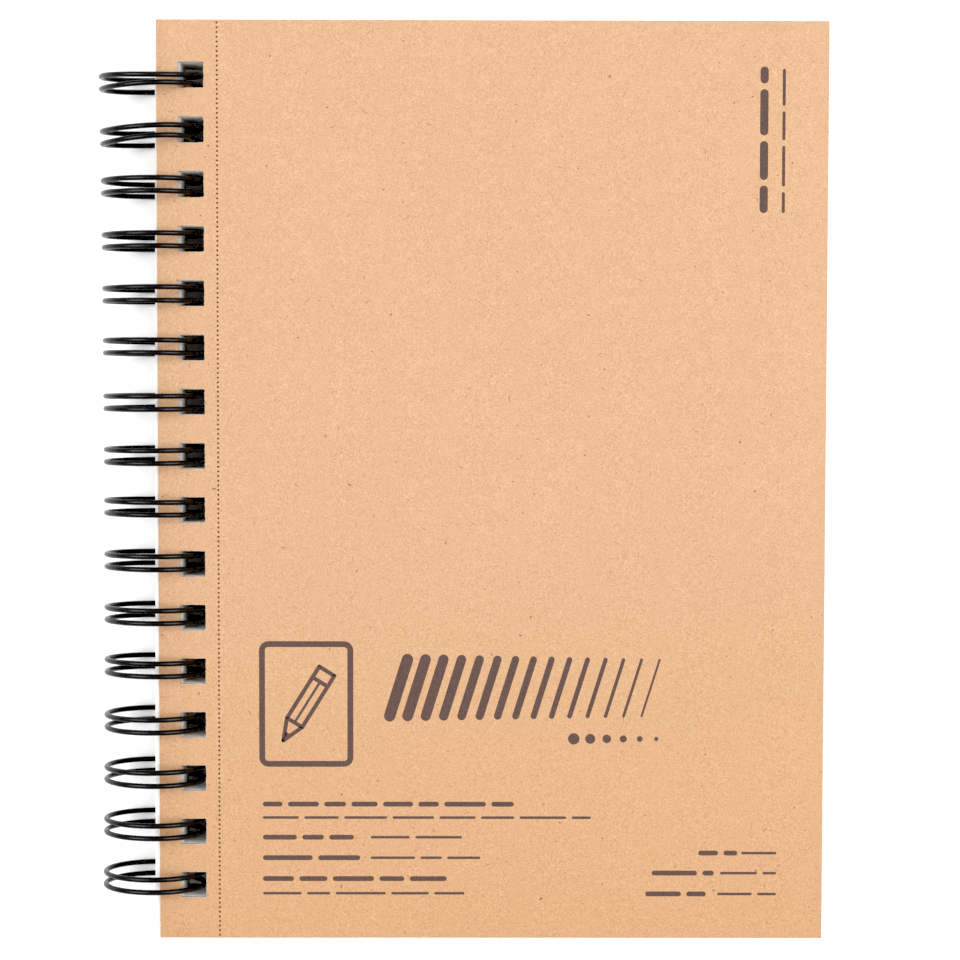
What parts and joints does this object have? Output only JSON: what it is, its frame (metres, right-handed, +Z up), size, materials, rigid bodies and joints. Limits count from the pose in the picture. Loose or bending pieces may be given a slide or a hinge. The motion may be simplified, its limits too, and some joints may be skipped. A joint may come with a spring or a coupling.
{
  "type": "sketchbook",
  "caption": "Portrait sketchbook with a kraft card cover and a grey board back, wire-bound along the long side with black twin loops through square holes.",
  "frame": {"origin": "centre of the underside of the bounding box, on the surface that the closed book lies on", "axes": "+Y along the spine towards the head of the book, +X from the spine to the fore edge, +Z up out of the front cover"},
  "size_m": [0.1706, 0.216, 0.0239],
  "materials": {
    "kraft_cover": "uncoated kraft card",
    "grey_board": "uncoated chipboard",
    "drawing_paper": "fine tooth, uncoated",
    "black_wire": "satin black coating"
  },
  "bodies": {
    "base": {"binding_wire": "black_wire", "back_cover": "grey_board", "sheets_051_055": "drawing_paper", "sheets_056_060": "drawing_paper", "sheets_061_065": "drawing_paper", "sheets_066_070": "drawing_paper", "sheets_071_075": "drawing_paper", "sheets_076_080": "drawing_paper", "sheets_081_085": "drawing_paper", "sheets_086_090": "drawing_paper", "sheets_091_095": "drawing_paper", "sheets_096_100": "drawing_paper"},
    "upper_sheets": {"sheets_001_005": "drawing_paper", "sheets_006_010": "drawing_paper", "sheets_011_015": "drawing_paper", "sheets_016_020": "drawing_paper", "sheets_021_025": "drawing_paper", "sheets_026_030": "drawing_paper", "sheets_031_035": "drawing_paper", "sheets_036_040": "drawing_paper", "sheets_041_045": "drawing_paper", "sheets_046_050": "drawing_paper"},
    "front_cover": {"front_cover": "kraft_cover"}
  },
  "joints": [
    {"name": "upper_sheets_turn", "type": "hinge", "parent": "base", "child": "upper_sheets", "pos_m": [-0.07334, 0, 0.01202], "axis": [0, 1, 0], "range_deg": [-183.3, 0]},
    {"name": "front_cover_open", "type": "hinge", "parent": "upper_sheets", "child": "front_cover", "pos_m": [-0.07334, 0, 0.01202], "axis": [0, -1, 0], "range_deg": [0, 183.3]}
  ]
}
